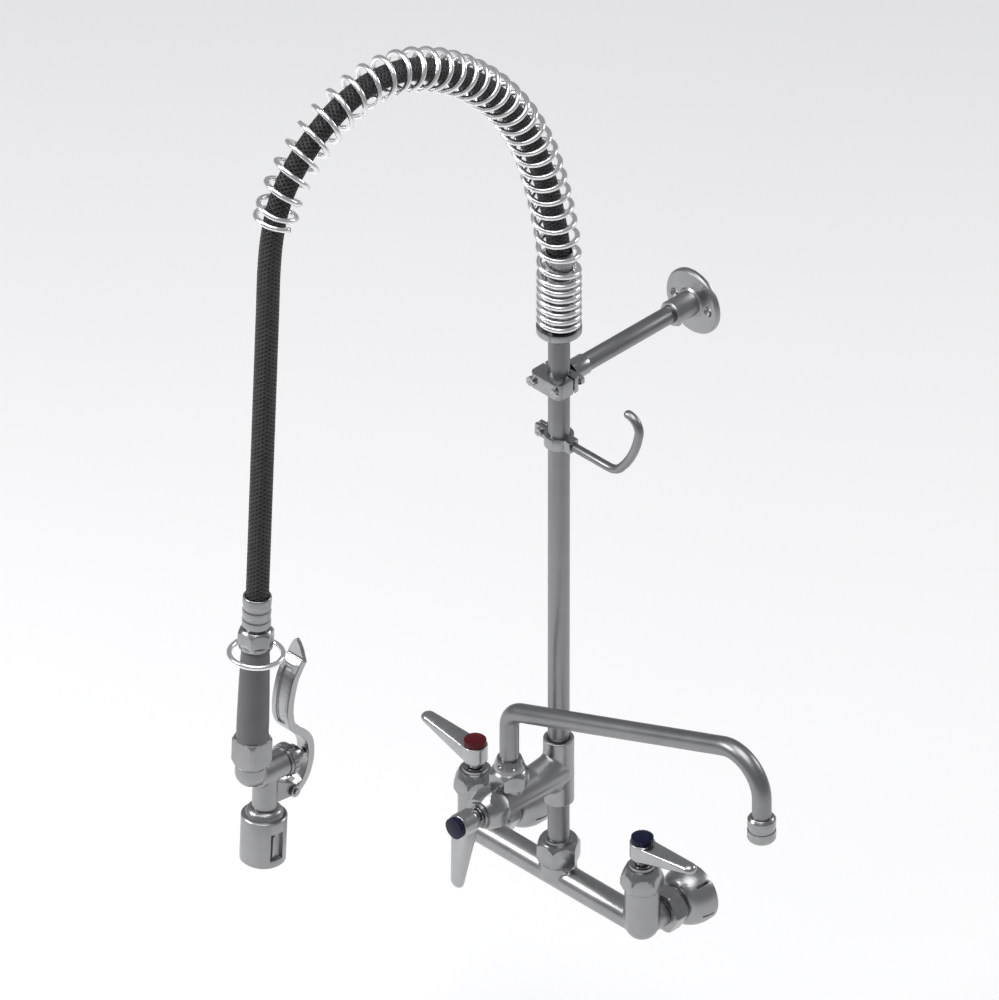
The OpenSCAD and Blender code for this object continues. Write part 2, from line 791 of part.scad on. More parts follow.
module valve_nut() {
    color("gray")
    at_gun() difference() {
        union() {
            translate([0, 0, -46]) hex_nut(28, 15, 8, 0.9);
            translate([0, 0, -51]) cylinder(d1 = 27, d2 = 30, h = 2);
            translate([0, 0, -49]) cylinder(d = 30, h = 3.5);
        }
        translate([0, 0, -60]) cylinder(d = 11, h = 60);
    }
}

grip_z0 = -145;

module valve_grip() {
    color("gray")
    at_gun() difference() {
        rotate_extrude() polygon([[5.5, grip_z0], [14.3, grip_z0], [14, grip_z0 + 20],
            [12.6, -60], [12.3, -51], [5.5, -51]]);
        translate([0, 0, grip_z0 - 1]) cylinder(d = 11, h = 120);
    }
}

module valve_collar() {
    z0 = -170;
    color("lightgray")
    at_gun() difference() {
        intersection() {
            translate([-13.6, -13.6, z0]) cube([27.2, 27.2, 27]);
            rotate_extrude() polygon([[0, z0], [14.6, z0], [17.4, z0 + 5], [17.4, z0 + 24],
                [15.4, z0 + 27], [0, z0 + 27]]);
        }
        translate([0, 0, grip_z0]) cylinder(r = 14.32, h = 10);
        translate([0, 0, z0 - 1]) cylinder(d = 11, h = 60);
    }
}

neck_bottom = -222;
bonnet_y = 37;

module valve_body() {
    color("lightgray")
    at_gun() difference() {
        union() {
            translate([0, 0, -178]) cylinder(d = 28, h = 8);
            translate([0, 0, -178]) sphere(d = 28);
            translate([0, 0, valve_axis_z + 2]) along_y() cylinder(d = 22, h = 18);
            translate([0, 6, valve_axis_z]) along_y() cylinder(d = 25, h = bonnet_y - 6);
            translate([0, spray_y, neck_bottom]) cylinder(d = 22, h = valve_axis_z - neck_bottom);
            hull() {
                translate([-4.4, pivot.x, pivot.y]) rotate([0, 90, 0]) cylinder(r = 5.5, h = 8.8);
                translate([-4.4, 24, pivot.y - 3]) cube([8.8, 4, 22]);
            }
        }
        translate([-20, -20, -170]) cube([40, 40, 20]);
        translate([0, 0, valve_axis_z]) cylinder(d = 11, h = 40);
        translate([0, 0, valve_axis_z]) along_y() cylinder(d = 8, h = 60);
        translate([0, 16, valve_axis_z]) along_y() cylinder(d = 17, h = 60);
        translate([0, spray_y, neck_bottom - 1]) cylinder(d = 12, h = 40);
        translate([-10, pivot.x, pivot.y]) rotate([0, 90, 0]) cylinder(d = 4, h = 20);
    }
}

module valve_bonnet() {
    color("silver")
    at_gun() translate([0, 0, valve_axis_z]) along_y() difference() {
        union() {
            translate([0, 0, bonnet_y - 7]) cylinder(d = 17, h = 8);
            translate([0, 0, bonnet_y]) cylinder(d = 27, h = 2.5);
            translate([0, 0, bonnet_y + 2.5]) cylinder(d = 30, h = 5.5);
            translate([0, 0, bonnet_y + 8]) cylinder(d1 = 30, d2 = 26, h = 2);
            translate([0, 0, bonnet_y + 10]) cylinder(d = 20, h = 6);
            translate([0, 0, bonnet_y + 16]) cylinder(d1 = 20, d2 = 14.6, h = 2.8);
        }
        for (a = [0:20:340])
            rotate([0, 0, a]) translate([16, 0, bonnet_y + 1]) cylinder(d = 3.2, h = 20, $fn = 20);
        translate([0, 0, bonnet_y - 8]) cylinder(d = 12, h = 14);
        translate([0, 0, bonnet_y - 8]) cylinder(d = 6 + 2 * run, h = 60);
    }
}

module valve_plunger() {
    color("silver")
    at_gun() translate([0, 0, valve_axis_z]) along_y() {
        translate([0, 0, 23]) cylinder(d = 6, h = 36.6);
        translate([0, 0, 59.6]) intersection() {
            cylinder(d = 6, h = 3);
            translate([0, 0, -3.4]) sphere(r = 6);
        }
        translate([0, 0, 22]) cylinder(d = 14, h = 3);
    }
}

module valve_return_spring() {
    turns = 3;
    color("gray")
    at_gun() translate([0, 0, valve_axis_z]) along_y()
        sweep([for (i = [0:turns * 16])
            let (a = i * 360 / 16, z = 26.9 + 14.6 * i / (turns * 16))
            [for (k = [0:5])
                let (r = 4.6 + 0.6 * cos(60 * k))
                [r * cos(a), r * sin(a), z + 0.6 * sin(-60 * k)]]]);
}

// a strip of the lever's side outline, between two offsets from its centreline
module lever_strip(inner, outer, width) {
    line = smooth(lever_line, 4);
    left = [for (i = [0:len(line) - 1])
        let (h = heading(line, i))
        line[i] + inner * [h.y, -h.x]];
    right = [for (i = [len(line) - 1:-1:0])
        let (h = heading(line, i))
        line[i] + outer * [h.y, -h.x]];
    translate([-width / 2, 0, 0]) rotate([90, 0, 90]) linear_extrude(width)
        polygon(concat(left, right));
}

module valve_lever() {
    lever_w = 20;
    fork_w = 14.6;
    slot_w = 9.6;
    leaf_y = 49.3;
    leaf_z = -85;
    leaf_h = 20;
    leaf = [for (t = [-1:0.1:1]) [10.8 * t, leaf_z + leaf_h * (1 - pow(abs(t), 1.7))]];
    half = [[lever_w / 2, -60], [lever_w / 2, -138], [lever_w / 2 - 1, -152],
        [fork_w / 2, -176], [fork_w / 2, -230]];
    front = concat(half, [for (i = [len(half) - 1:-1:0]) [-half[i].x, half[i].y]]);
    color("silver")
    at_gun() difference() {
        union() {
            intersection() {
                union() {
                    lever_strip(-3.5, 3.5, lever_w);
                    translate([-lever_w / 2, pivot.x, pivot.y]) rotate([0, 90, 0])
                        cylinder(r = 5.5, h = lever_w);
                }
                translate([0, 100, 0]) rotate([90, 0, 0]) linear_extrude(100) polygon(front);
            }
            // the pointed leaf under the thumb and the nib below it
            translate([0, leaf_y + 3.6, 0]) rotate([90, 0, 0]) linear_extrude(3.6) polygon(leaf);
            translate([-5, leaf_y - 6, leaf_z - 5]) cube([10, 5, 3]);
        }
        lever_strip(-6, -0.6, lever_w - 14.5);
        translate([-slot_w / 2, 30, pivot.y - 20]) cube([slot_w, 60, 28]);
        translate([-20, pivot.x, pivot.y]) rotate([0, 90, 0]) cylinder(d = 4 + 2 * run, h = 40);
    }
}

module lever_pin() {
    color("gray")
    at_gun() translate([-8.2, pivot.x, pivot.y]) rotate([0, 90, 0]) {
        cylinder(d = 4, h = 16.4);
        translate([0, 0, -1.2]) cylinder(d = 6.5, h = 1.6);
        translate([0, 0, 16]) cylinder(d = 6, h = 1.2);
    }
}

ring_z = -58;

module hold_down_ring() {
    color("gainsboro")
    at_gun() translate([0, 1, ring_z]) rotate_extrude() translate([(ring_d - ring_wire) / 2, 0])
        circle(d = ring_wire, $fn = 32);
}

head_top = -229;
head_bottom = -275;

module spray_head() {
    color("lightgray")
    at_gun() translate([0, spray_y, 0]) difference() {
        union() {
            rotate_extrude() polygon(concat([[0, head_bottom], [spray_d / 2 - 1.5, head_bottom],
                [spray_d / 2, head_bottom + 1.5], [spray_d / 2, head_top - 1],
                [spray_d / 2 - 1, head_top]],
                [for (a = [0:15:90]) [11 + 5.5 * cos(a), head_top + 7 * sin(a)]], [[0, head_top + 7]]));
        }
        translate([0, 0, head_bottom - 1]) cylinder(d = 31, h = 11);
        translate([0, 0, head_bottom + 9.9]) cylinder(d1 = 31, d2 = 12, h = 14);
        translate([0, 0, -290]) cylinder(d = 12, h = 90);
        // flow-control window on the side away from the wall
        rotate([0, 0, -8]) difference() {
            translate([spray_d / 2 - 4, -6.5, head_bottom + 8]) cube([8, 13, 27]);
            translate([spray_d / 2 - 5, -3.6, head_bottom + 11]) cube([3.2, 2.4, 21]);
        }
    }
}

module spray_face() {
    color("dimgray")
    at_gun() translate([0, spray_y, head_bottom]) difference() {
        translate([0, 0, 1.5]) cylinder(d = 31, h = 5);
        for (r = [5, 9, 13])
            for (a = [0:360 / (r + 1):359])
                rotate([0, 0, a]) translate([r, 0, -1]) cylinder(d = 1.6, h = 12, $fn = 16);
    }
}

// ---------- the three valves' pieces in their places ----------

module hot_cartridge() {
    color("gray")
    at_valve(-1) translate([0, 0, chamber_top]) cartridge(valve_depth);
}

module hot_bonnet() {
    color("silver")
    at_valve(-1) translate([0, 0, chamber_top]) bonnet(-4);
}

module hot_stem() {
    color("silver")
    at_valve(-1) translate([0, 0, chamber_top]) stem(valve_depth);
}

module hot_handle() {
    color("silver")
    at_valve(-1) translate([0, 0, chamber_top]) rotate([0, 0, 180]) handle();
}

module hot_handle_screw() {
    color("gray")
    at_valve(-1) translate([0, 0, chamber_top]) handle_screw();
}

module hot_index() {
    color("darkred")
    at_valve(-1) translate([0, 0, chamber_top]) index_cap();
}

module cold_cartridge() {
    color("gray")
    at_valve(1) translate([0, 0, chamber_top]) cartridge(valve_depth);
}

module cold_bonnet() {
    color("silver")
    at_valve(1) translate([0, 0, chamber_top]) bonnet(-13);
}

module cold_stem() {
    color("silver")
    at_valve(1) translate([0, 0, chamber_top]) stem(valve_depth);
}

module cold_handle() {
    color("silver")
    at_valve(1) translate([0, 0, chamber_top]) handle();
}

module cold_handle_screw() {
    color("gray")
    at_valve(1) translate([0, 0, chamber_top]) handle_screw();
}

module cold_index() {
    color("navy")
    at_valve(1) translate([0, 0, chamber_top]) index_cap();
}

module addon_cartridge() {
    color("gray")
    at_addon() translate([0, 0, arm_end]) cartridge(valve_depth);
}

module addon_bonnet() {
    color("silver")
    at_addon() translate([0, 0, arm_end]) bonnet(20);
}

module addon_stem() {
    color("silver")
    at_addon() translate([0, 0, arm_end]) stem(valve_depth);
}

module addon_handle() {
    color("silver")
    at_addon() translate([0, 0, arm_end]) rotate([0, 0, -90]) handle();
}

module addon_handle_screw() {
    color("gray")
    at_addon() translate([0, 0, arm_end]) handle_screw();
}

module addon_index() {
    color("navy")
    at_addon() translate([0, 0, arm_end]) index_cap();
}

module hot_inlet_nut() { inlet_nut(-1); }

module cold_inlet_nut() { inlet_nut(1); }

module hot_inlet_flange() { inlet_flange(-1); }

module cold_inlet_flange() { inlet_flange(1); }

base_body();
hot_inlet_nut();
hot_inlet_flange();
cold_inlet_nut();
cold_inlet_flange();
joint_washers();
hot_cartridge();
hot_bonnet();
hot_stem();
hot_handle();
hot_handle_screw();
hot_index();
cold_cartridge();
cold_bonnet();
cold_stem();
cold_handle();
cold_handle_screw();
cold_index();
riser_nipple();
riser_coupling_nut();
addon_body();
addon_cartridge();
addon_bonnet();
addon_stem();
addon_handle();
addon_handle_screw();
addon_index();
swivel_nut();
nozzle_sleeve();
nozzle_o_rings();
nozzle_tube();
nozzle_outlet();
riser();
bracket_rear_clamp();
bracket_front_clamp();
bracket_screws();
bracket_tube();
bracket_flange();
bracket_set_screw();
hook_band();
hook_rod();
hook_screw();
spring_collar();
overhead_spring();
hose_swivel_nut();
hose_upper_ferrule();
hose();
hose_lower_ferrule();
valve_nut();
valve_grip();
valve_collar();
valve_body();
valve_bonnet();
valve_return_spring();
valve_plunger();
valve_lever();
lever_pin();
hold_down_ring();
spray_head();
spray_face();
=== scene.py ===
import json
import math

import bpy
from mathutils import Matrix, Vector

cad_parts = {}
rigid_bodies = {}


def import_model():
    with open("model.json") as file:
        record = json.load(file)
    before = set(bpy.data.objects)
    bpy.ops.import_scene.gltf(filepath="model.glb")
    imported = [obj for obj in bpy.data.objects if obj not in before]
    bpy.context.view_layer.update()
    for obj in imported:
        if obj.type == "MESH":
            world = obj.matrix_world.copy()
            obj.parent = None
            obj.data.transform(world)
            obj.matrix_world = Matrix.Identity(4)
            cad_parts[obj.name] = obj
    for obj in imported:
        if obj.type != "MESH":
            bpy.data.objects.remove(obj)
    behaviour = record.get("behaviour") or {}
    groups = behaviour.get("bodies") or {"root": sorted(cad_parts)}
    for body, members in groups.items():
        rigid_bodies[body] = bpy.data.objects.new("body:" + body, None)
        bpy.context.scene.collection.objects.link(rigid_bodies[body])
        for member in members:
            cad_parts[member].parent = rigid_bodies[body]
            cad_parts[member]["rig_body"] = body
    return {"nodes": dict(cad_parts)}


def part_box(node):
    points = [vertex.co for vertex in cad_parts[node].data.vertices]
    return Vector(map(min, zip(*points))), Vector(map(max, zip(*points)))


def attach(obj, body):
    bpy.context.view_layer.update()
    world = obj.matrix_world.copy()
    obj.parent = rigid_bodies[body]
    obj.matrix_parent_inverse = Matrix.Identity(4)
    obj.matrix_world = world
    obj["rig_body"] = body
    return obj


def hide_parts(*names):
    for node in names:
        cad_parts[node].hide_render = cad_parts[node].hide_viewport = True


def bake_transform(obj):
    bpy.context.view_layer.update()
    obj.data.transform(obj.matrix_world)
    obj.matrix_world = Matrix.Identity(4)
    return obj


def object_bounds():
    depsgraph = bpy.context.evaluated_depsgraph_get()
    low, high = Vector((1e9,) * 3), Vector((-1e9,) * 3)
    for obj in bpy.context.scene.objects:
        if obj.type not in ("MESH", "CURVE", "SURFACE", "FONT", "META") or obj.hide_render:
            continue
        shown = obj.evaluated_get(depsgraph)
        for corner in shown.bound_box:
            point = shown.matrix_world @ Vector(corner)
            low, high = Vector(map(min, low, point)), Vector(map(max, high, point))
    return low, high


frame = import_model()
cad_box = [list(corner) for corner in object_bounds()]
nodes = frame["nodes"]


# ---- Camera -------------------------------------------------------------------------------
# A long lens, so that the faucet is seen almost without perspective, from its front right and
# above, at the angle of a true isometric drawing.
lens = 1600.0
sensor = 36.0
view_width = 0.8546
stand_off = 0.33  # the faucet's middle lies this far in front of the point aimed at
distance = view_width * lens / sensor + stand_off
back = Vector((1, -1, math.sqrt(2) * math.tan(math.radians(35.264)))).normalized()
right = Vector((1, 1, 0)).normalized()
up = back.cross(right)
riser_foot = Vector((0, (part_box("riser")[0].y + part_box("riser")[1].y) / 2, 0))
aim_left, aim_up = 0.0509, 0.3219
aim = riser_foot - aim_left * right + aim_up * up

bpy.ops.object.select_all(action="DESELECT")
bpy.ops.object.camera_add()
camera = bpy.context.object
camera.name = "camera"
camera.data.lens = lens
camera.data.sensor_width = sensor
camera.data.clip_end = 100
camera.rotation_mode = "QUATERNION"
camera.location = aim + distance * back
camera.rotation_quaternion = (-back).to_track_quat("-Z", "Y")
bpy.context.scene.camera = camera


# ---- Hose ---------------------------------------------------------------------------------
# A black rubber hose under a braided sleeve. It leaves the swivel nut on the riser's top, is
# carried over by the spring and hangs by the spray valve's weight into the valve's ferrule.
hose_route = [(-66, 608), (-66, 632), (-67, 662), (-74, 700), (-84, 740), (-98, 780),
              (-119, 820), (-146, 857), (-178, 889), (-214, 915), (-252, 933), (-290, 939),
              (-326, 933), (-357, 918), (-383, 896), (-401, 870), (-410, 840), (-414, 808),
              (-416, 765), (-418, 722), (-420, 679), (-422, 636), (-424, 593), (-426, 550),
              (-428, 507), (-430, 464)]
hose_radius = 0.010
hose_sides = 48


def smooth_route(points, steps):
    """The route in metres, with a rounded run of steps between each two of its points."""
    out = []
    for i in range(len(points) - 1):
        a, b, c, d = (Vector(points[max(0, min(j, len(points) - 1))]) / 1000
                      for j in (i - 1, i, i + 1, i + 2))
        for k in range(steps):
            t = k / steps
            p = (2 * b + (c - a) * t + (2 * a - 5 * b + 4 * c - d) * t ** 2
                 + (3 * b - 3 * c + d - a) * t ** 3) / 2
            out.append(Vector((0, p.x, p.y)))
    last = Vector(points[-1]) / 1000
    return out + [Vector((0, last.x, last.y))]


def skin(name, rings, lengths):
    """A tube through rings of points, with UVs in metres along it and turns around it."""
    sides, count = len(rings[0]), len(rings)
    faces = [(i * sides + k, (i + 1) * sides + k,
              (i + 1) * sides + (k + 1) % sides, i * sides + (k + 1) % sides)
             for i in range(count - 1) for k in range(sides)]
    faces += [tuple(range(sides)), tuple((count - 1) * sides + k for k in reversed(range(sides)))]
    mesh = bpy.data.meshes.new(name)
    mesh.from_pydata([p for ring in rings for p in ring], [], faces)
    uv = mesh.uv_layers.new(name="along")
    for face in mesh.polygons:
        for j, loop in enumerate(face.loop_indices):
            ring, k = divmod(mesh.loops[loop].vertex_index, sides)
            if len(face.vertices) == 4:
                k = face.vertices[0] % sides + (j in (2, 3))
                ring = face.vertices[0] // sides + (j in (1, 2))
            uv.data[loop].uv = (k / sides, lengths[ring])
        face.use_smooth = len(face.vertices) == 4
    obj = bpy.data.objects.new(name, mesh)
    bpy.context.scene.collection.objects.link(obj)
    return obj


def along_line(line):
    """How far along the line each of its points is."""
    out = [0.0]
    for a, b in zip(line, line[1:]):
        out.append(out[-1] + (b - a).length)
    return out


def headings(line):
    return [(line[min(i + 1, len(line) - 1)] - line[max(i - 1, 0)]).normalized()
            for i in range(len(line))]


hose_line = smooth_route(hose_route, 8)
sideways = Vector((1, 0, 0))
hose_rings = [[p + hose_radius * (math.sin(a) * sideways + math.cos(a) * ahead.cross(sideways))
               for a in (2 * math.pi * k / hose_sides for k in range(hose_sides))]
              for p, ahead in zip(hose_line, headings(hose_line))]
hose = skin("hose_braided", hose_rings, lengths=along_line(hose_line))


class Wire:
    """A shader socket. Arithmetic on it adds Math nodes, and node() adds any other node."""

    def __init__(self, tree, socket=None):
        self.tree = tree
        self.socket = socket

    def node(self, kind, settings=None, sockets=None, out=0):
        made = self.tree.nodes.new(kind)
        for key, value in (settings or {}).items():
            setattr(made, key, value)
        for key, value in (sockets or {}).items():
            if isinstance(value, Wire):
                self.tree.links.new(value.socket, made.inputs[key])
            else:
                made.inputs[key].default_value = value
        return Wire(self.tree, made.outputs[out])

    def math(self, operation, *values):
        return self.node("ShaderNodeMath", {"operation": operation}, dict(enumerate(values)))

    def __add__(self, other):
        return self.math("ADD", self, other)

    def __sub__(self, other):
        return self.math("SUBTRACT", self, other)

    def __rsub__(self, other):
        return self.math("SUBTRACT", other, self)

    def __mul__(self, other):
        return self.math("MULTIPLY", self, other)

    __radd__ = __add__
    __rmul__ = __mul__


class Finish:
    """A new material with fixed values on its Principled shader, and a Wire to build on."""

    sockets = {"specular": "Specular IOR Level"}

    def __init__(self, name, **fixed):
        self.material = bpy.data.materials.new(name)
        self.material.use_nodes = True
        self.tree = self.material.node_tree
        self.shader = self.tree.nodes["Principled BSDF"]
        self.start = Wire(self.tree)
        for key, value in fixed.items():
            self.shader.inputs[self.sockets.get(key, key.title())].default_value = value

    def places(self, scale=(1, 1, 1)):
        place = self.start.node("ShaderNodeTexCoord", out="Object")
        return self.start.node("ShaderNodeMapping", sockets={"Vector": place, "Scale": scale})

    def clouds(self, size, scale=(1, 1, 1), detail=3, places=None):
        """Noise whose patches are about size metres across, from 0 to 1."""
        return self.start.node("ShaderNodeTexNoise", sockets={
            "Vector": places or self.places(scale), "Scale": 1 / size, "Detail": detail})

    def mixed(self, share, low, high):
        return self.start.node("ShaderNodeMix", {"data_type": "RGBA"},
                               {"Factor": share, 6: (*low, 1), 7: (*high, 1)}, out=2)

    def feed(self, key, wire):
        self.tree.links.new(wire.socket, self.shader.inputs[key])

    def bumps(self, height, distance, strength=1.0):
        self.feed("Normal", self.start.node("ShaderNodeBump", sockets={
            "Height": height, "Distance": distance, "Strength": strength}))


braid = Finish("hose_braid", metallic=0.0, specular=0.3)
uv = braid.start.node("ShaderNodeUVMap", {"uv_map": "along"})
u = braid.start.node("ShaderNodeSeparateXYZ", sockets={0: uv}, out=0)
v = braid.start.node("ShaderNodeSeparateXYZ", sockets={0: uv}, out=1)
strands = 10
lay_length = 0.042
turned_left = (u * strands + v * (strands / lay_length)) * (2 * math.pi)
turned_right = (u * strands - v * (strands / lay_length)) * (2 * math.pi)
weave = u.math("MAXIMUM", u.math("SINE", turned_left), u.math("SINE", turned_right))
scuffs = braid.clouds(0.009, detail=4)
# Painted highlight and painted shade: the braid's colour is lighter on the strands' crests and darker
# in the gaps between them, and the scuffs noise varies it at random.
crest_sheen_and_scuffs = (weave * 0.5 + 0.5) * (scuffs + 0.3)
braid.feed("Base Color", braid.mixed(crest_sheen_and_scuffs, (0.002, 0.002, 0.002), (0.05, 0.05, 0.052)))
braid.feed("Roughness", 0.6 - weave * 0.2)
braid.bumps(weave, 0.0008, 0.9)
hose.data.materials.append(braid.material)
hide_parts("hose")
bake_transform(hose)


# ---- Overhead spring ----------------------------------------------------------------------
# One length of bright stainless wire, close wound where it grips the seat collar and opened
# out along the arch. The last turn is cut square and hangs free round the hose.
wire_radius = 0.0025
coil_radius = 0.0395 / 2 - wire_radius
close_turns = 7.1
close_pitch = 0.0076
open_turns = 39.1
open_pitch = 0.0174
end_pitch = 0.008
spring_turns = 40.25
turn_steps = 36
wire_sides = 12
lead_in = 0.0077

sprung_points = 19  # how much of the hose's route the spring's own line takes in
spring_line = smooth_route([(-66, 573), (-66, 583)] + hose_route[:sprung_points], 12)
spring_along = along_line(spring_line)


def point_along(line, along, s):
    """The point s metres along the line."""
    s = max(0.0, min(s, along[-1]))
    i = next(j for j in range(1, len(along)) if along[j] >= s)
    share = (s - along[i - 1]) / (along[i] - along[i - 1])
    return line[i - 1].lerp(line[i], share)


def coil_ring(turn):
    s = (lead_in + min(turn, close_turns) * close_pitch
         + (min(max(turn, close_turns), open_turns) - close_turns) * open_pitch
         + max(turn - open_turns, 0) * end_pitch)
    at = point_along(spring_line, spring_along, s)
    ahead = (point_along(spring_line, spring_along, s + 0.002)
             - point_along(spring_line, spring_along, s - 0.002)).normalized()
    a = 2 * math.pi * turn
    out = math.sin(a) * Vector((1, 0, 0)) + math.cos(a) * Vector((0, ahead.z, -ahead.y))
    middle = at + coil_radius * out
    return [middle + wire_radius * (math.cos(b) * out + math.sin(b) * ahead)
            for b in (2 * math.pi * k / wire_sides for k in range(wire_sides))]


coil_rings = [coil_ring(i / turn_steps) for i in range(int(spring_turns * turn_steps) + 1)]
coil_step = 2 * math.pi * coil_radius / turn_steps
spring = skin("spring_coil", coil_rings, lengths=[i * coil_step for i in range(len(coil_rings) + 1)])
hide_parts("overhead_spring")
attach(spring, "overhead")

bright = Finish("bright_wire", metallic=1.0, roughness=0.2)
drawn = bright.start.node("ShaderNodeMapping", sockets={
    "Vector": bright.start.node("ShaderNodeUVMap", {"uv_map": "along"}), "Scale": (14, 30, 1)})
streaks = bright.clouds(1.0, places=drawn)
bright.feed("Base Color", bright.mixed(streaks, (0.78, 0.78, 0.79), (0.92, 0.92, 0.93)))
bright.feed("Roughness", streaks * 0.16 + 0.12)
bright.bumps(streaks, 0.00003)
spring.data.materials.append(bright.material)


# ---- Body castings ------------------------------------------------------------------------
# The mixing body, the add-on faucet's tee and the spray valve's body are brass castings, cast
# with rounded inside corners, ground, polished and chromed all over.


def copy_of(node):
    """A merged copy of a CAD node's mesh, as an object of its own, selected and active."""
    made = bpy.data.objects.new(node + "_made", nodes[node].data.copy())
    bpy.context.scene.collection.objects.link(made)
    made.data.materials.clear()
    bpy.ops.object.select_all(action="DESELECT")
    made.select_set(True)
    bpy.context.view_layer.objects.active = made
    bpy.ops.object.mode_set(mode="EDIT")
    bpy.ops.mesh.select_all(action="SELECT")
    bpy.ops.mesh.remove_doubles(threshold=0.000005)
    bpy.ops.object.mode_set(mode="OBJECT")
    return made


def stand_for(piece, node, finish):
    piece.data.materials.append(finish.material)
    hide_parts(node)
    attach(piece, nodes[node]["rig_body"])


def cast(made, grain, rounds):
    """The piece as a casting: its inside corners filled and its outside ones softened."""
    remesh = made.modifiers.new("grain", "REMESH")
    remesh.mode = "VOXEL"
    remesh.voxel_size = grain
    bpy.ops.object.modifier_apply(modifier="grain")
    soften = made.modifiers.new("soften", "SMOOTH")
    soften.factor = 0.5
    soften.iterations = rounds
    bpy.ops.object.modifier_apply(modifier="soften")
    bpy.ops.object.shade_smooth()
    return made


cast_chrome = Finish("cast_chrome", metallic=1.0)
mottle = cast_chrome.clouds(0.018, detail=4)
smears = cast_chrome.clouds(0.006, scale=(1, 1, 0.4))
cast_chrome.feed("Base Color", cast_chrome.mixed(mottle, (0.27, 0.272, 0.275), (0.38, 0.382, 0.385)))
cast_chrome.feed("Roughness", mottle * 0.1 + smears * 0.08 + 0.24)
cast_chrome.bumps(cast_chrome.clouds(0.004, detail=2), 0.00006, 0.6)

for node, grain, rounds in (("base_body", 0.0009, 8), ("addon_body", 0.0008, 8),
                            ("valve_body", 0.0006, 6)):
    stand_for(cast(copy_of(node), grain, rounds), node, cast_chrome)


# ---- Lever handles ------------------------------------------------------------------------
# Three alike: a forged brass lever with a round hub, polished and chromed. Each is held on its
# stem by a screw that the coloured cap hides.
handle_chrome = Finish("handle_chrome", metallic=1.0)
worn = handle_chrome.clouds(0.010, detail=4)
handle_chrome.feed("Base Color", handle_chrome.mixed(worn, (0.34, 0.343, 0.346), (0.46, 0.463, 0.466)))
handle_chrome.feed("Roughness", worn * 0.14 + 0.17)
handle_chrome.bumps(handle_chrome.clouds(0.003, detail=2), 0.00004, 0.5)
for node in ("hot_handle", "cold_handle", "addon_handle"):
    stand_for(cast(copy_of(node), 0.00055, 7), node, handle_chrome)


# ---- Squeeze lever ------------------------------------------------------------------------
# A forged lever, hinged under the spray valve. A long groove is pressed into the face towards
# the grip, as one is into its back, and leaves a rim down both sides.
groove_half = 0.0045
groove_depth = 0.0018
groove_foot, groove_head = 0.328, 0.383
lever = copy_of("valve_lever")
bpy.ops.object.mode_set(mode="EDIT")
for side in (-1, 1):
    bpy.ops.mesh.select_all(action="SELECT")
    bpy.ops.mesh.bisect(plane_co=(side * groove_half, 0, 0), plane_no=(1, 0, 0))
bpy.ops.mesh.select_mode(type="FACE")
bpy.ops.mesh.select_all(action="DESELECT")
bpy.ops.object.mode_set(mode="OBJECT")
for face in lever.data.polygons:
    face.select = (abs(face.center.x) < groove_half and face.normal.y < -0.15
                   and groove_foot < face.center.z < groove_head)
bpy.ops.object.mode_set(mode="EDIT")
bpy.ops.mesh.extrude_region_shrink_fatten(TRANSFORM_OT_shrink_fatten={"value": -groove_depth})
bpy.ops.mesh.select_mode(type="VERT")
bpy.ops.object.mode_set(mode="OBJECT")
stand_for(cast(lever, 0.00045, 3), "valve_lever", handle_chrome)


# ---- Nuts, bonnets and clamps -------------------------------------------------------------
# Turned and milled from bar, then polished and chromed. Every edge is broken, as a deburring
# wheel leaves it.
bar_chrome = Finish("bar_chrome", metallic=1.0)
turned = bar_chrome.clouds(0.02, scale=(1, 1, 30))
patches = bar_chrome.clouds(0.008)
bar_chrome.feed("Base Color", bar_chrome.mixed(patches, (0.25, 0.253, 0.256), (0.39, 0.393, 0.396)))
bar_chrome.feed("Roughness", turned * 0.1 + patches * 0.08 + 0.16)
bar_chrome.bumps(turned, 0.00002, 0.5)


def machined(node, edge, angle=32):
    """The CAD node with its flat faces made whole again and its edges broken by edge metres."""
    made = copy_of(node)
    bpy.ops.object.mode_set(mode="EDIT")
    bpy.ops.mesh.select_all(action="SELECT")
    bpy.ops.mesh.dissolve_limited(angle_limit=math.radians(0.5))
    bpy.ops.object.mode_set(mode="OBJECT")
    broken = made.modifiers.new("broken_edges", "BEVEL")
    broken.width = edge
    broken.segments = 2
    broken.limit_method = "ANGLE"
    broken.angle_limit = math.radians(angle)
    bpy.ops.object.modifier_apply(modifier="broken_edges")
    bpy.ops.object.shade_smooth_by_angle(angle=math.radians(30))
    return made


for node in ("hot_inlet_nut", "cold_inlet_nut", "hot_bonnet", "cold_bonnet", "addon_bonnet",
             "riser_coupling_nut", "swivel_nut", "nozzle_outlet", "hose_swivel_nut",
             "hose_upper_ferrule", "valve_nut", "valve_bonnet", "spring_collar",
             "bracket_rear_clamp", "bracket_front_clamp", "hook_band"):
    stand_for(machined(node, 0.0003), node, bar_chrome)
for node in ("hot_inlet_flange", "cold_inlet_flange", "bracket_flange",
             "valve_collar", "spray_head"):
    stand_for(machined(node, 0.0004), node, cast_chrome)


# ---- Tubes --------------------------------------------------------------------------------
# Drawn brass and steel tube, polished round and round on a lathe and satin chromed: the riser,
# its nipple, the bracket's tube, the swing nozzle and the hook's rod.


def tube_finish(name, scale):
    satin = Finish(name, metallic=1.0)
    polish = satin.clouds(0.02, scale=scale)
    cloudy = satin.clouds(0.03, detail=4)
    satin.feed("Base Color", satin.mixed(cloudy, (0.21, 0.212, 0.215), (0.3, 0.302, 0.305)))
    satin.feed("Roughness", polish * 0.1 + cloudy * 0.08 + 0.28)
    satin.bumps(polish, 0.00002, 0.6)
    return satin


